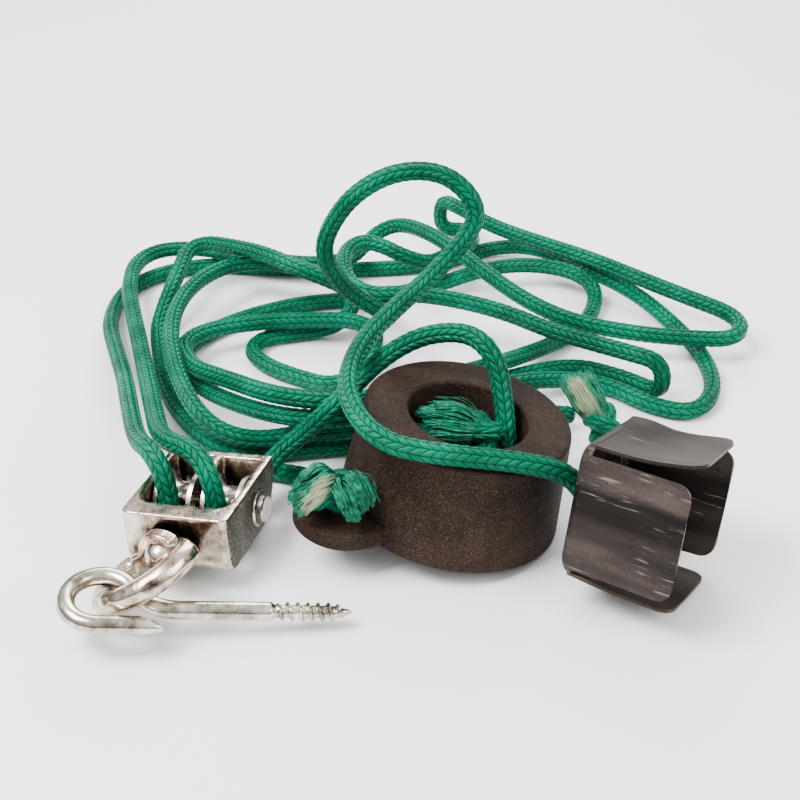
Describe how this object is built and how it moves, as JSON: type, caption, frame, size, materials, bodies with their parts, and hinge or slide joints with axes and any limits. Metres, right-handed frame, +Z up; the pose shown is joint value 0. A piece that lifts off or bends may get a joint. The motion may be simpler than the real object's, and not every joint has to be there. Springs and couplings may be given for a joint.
{
  "type": "pulley hoist kit",
  "caption": "Cord hoist kit for a ceiling-hung rack: a double-sheave swivel pulley on a screw hook, a ring counterweight, a spring clip and braided cords, laid out on a table.",
  "frame": {"origin": "on the table, under the middle of the rigid pieces", "axes": "+X to the right along the row of rigid pieces, +Y away from the viewer towards the cord pile, +Z up"},
  "size_m": [0.2372, 0.2652, 0.087],
  "materials": {
    "nickel_casting": "polished nickel plate on a die casting",
    "zinc_steel": "satin zinc plate",
    "bright_steel": "bright turned steel",
    "dark_iron": "rough dark brown sand casting",
    "black_spring_steel": "dark satin with fine scratches",
    "green_cord": "glossy braided polypropylene"
  },
  "bodies": {
    "root": {"pulley_frame": "nickel_casting", "axle_rivet": "bright_steel", "swivel_pin": "nickel_casting", "counterweight": "dark_iron", "spring_clip": "black_spring_steel", "cord_a": "green_cord", "cord_b": "green_cord", "cord_b_coil": "green_cord", "knot_well": "green_cord", "knot_lug": "green_cord", "knot_back": "green_cord", "knot_clip": "green_cord"},
    "sheave_left": {"sheave_left": "bright_steel"},
    "sheave_right": {"sheave_right": "bright_steel"},
    "eye": {"swivel_eye": "nickel_casting"},
    "hook": {"screw_hook": "zinc_steel"}
  },
  "joints": [
    {"name": "sheave_left_spin", "type": "hinge", "parent": "root", "child": "sheave_left", "pos_m": [-0.06458, 0.00758, 0.01176], "axis": [0.9638, -0.2564, 0.0732], "continuous": true},
    {"name": "sheave_right_spin", "type": "hinge", "parent": "root", "child": "sheave_right", "pos_m": [-0.05042, 0.00382, 0.01284], "axis": [0.9638, -0.2564, 0.0732], "continuous": true},
    {"name": "eye_swivel", "type": "hinge", "parent": "root", "child": "eye", "pos_m": [-0.06246, -0.0126, 0.01356], "axis": [0.4503, 0.8924, 0.0288], "continuous": true},
    {"name": "hook_swing", "type": "hinge", "parent": "eye", "child": "hook", "pos_m": [-0.0811, -0.0306, 0.007], "axis": [-0.1504, 0.9223, -0.3559], "range_deg": [0, 80]}
  ]
}
